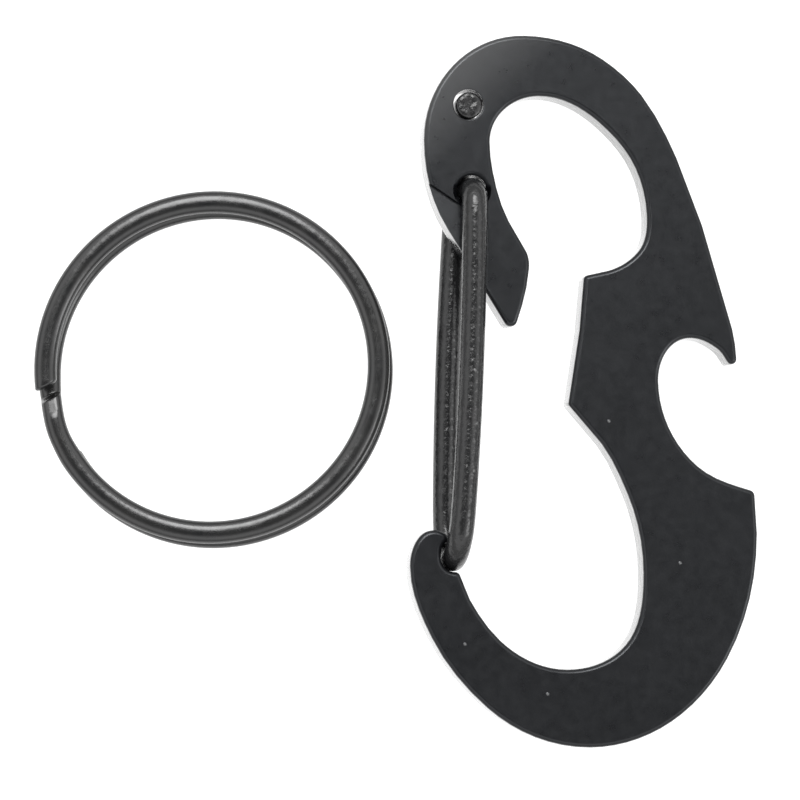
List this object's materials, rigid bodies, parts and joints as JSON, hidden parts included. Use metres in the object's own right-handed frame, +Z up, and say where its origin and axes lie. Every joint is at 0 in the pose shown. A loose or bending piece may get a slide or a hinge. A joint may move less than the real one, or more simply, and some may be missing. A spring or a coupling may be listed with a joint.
{
  "type": "carabiner keyring",
  "caption": "Plate carabiner with a sprung wire gate and a bottle opener notch, lying beside a split key ring.",
  "frame": {"origin": "centre of the bounding box of the carabiner and the ring, on the surface that they lie on", "axes": "+Z up from the surface they lie on, +Y along the carabiner towards its gate's holes, +X from the split ring to the carabiner"},
  "size_m": [0.0614, 0.0604, 0.0076],
  "materials": {
    "plate_enamel": "satin black enamel, slightly orange-peeled, over stamped steel",
    "gate_enamel": "satin black enamel with a pebbled surface, over spring wire",
    "ring_enamel": "gloss black plating over flattened spring wire"
  },
  "bodies": {
    "plate": {"body_plate": "plate_enamel"},
    "gate_front": {"gate_wire_front": "gate_enamel"},
    "gate_rear": {"gate_wire_rear": "gate_enamel"},
    "ring": {"split_ring_coil": "ring_enamel"},
    "ring_end": {"split_ring_free_end": "ring_enamel"}
  },
  "joints": [
    {"name": "gate_open", "type": "hinge", "parent": "plate", "child": "gate_front", "pos_m": [0.00613, 0.01688, 0.00377], "axis": [0.0886, 0, 0.9961], "range_deg": [0, 20], "stiffness_Nm_per_rad": 0.28, "springref_deg": -9.74},
    {"name": "gate_flex", "type": "hinge", "parent": "gate_front", "child": "gate_rear", "pos_m": [0.00469, -0.01432, 0.00389], "axis": [0.0886, 0, 0.9961], "range_deg": [-4, 1]},
    {"name": "ring_lift", "type": "slide", "parent": "plate", "child": "ring", "axis": [0, 0, 1], "range_m": [0, 0.03]},
    {"name": "ring_flex", "type": "hinge", "parent": "ring", "child": "ring_end", "pos_m": [-0.0015, 0.00199, 0.0022], "axis": [0, 1, 0], "range_deg": [0, 6], "stiffness_Nm_per_rad": 3}
  ],
  "couplings": [
    {"joint": "gate_flex", "follows": "gate_open", "ratio": -0.188}
  ]
}
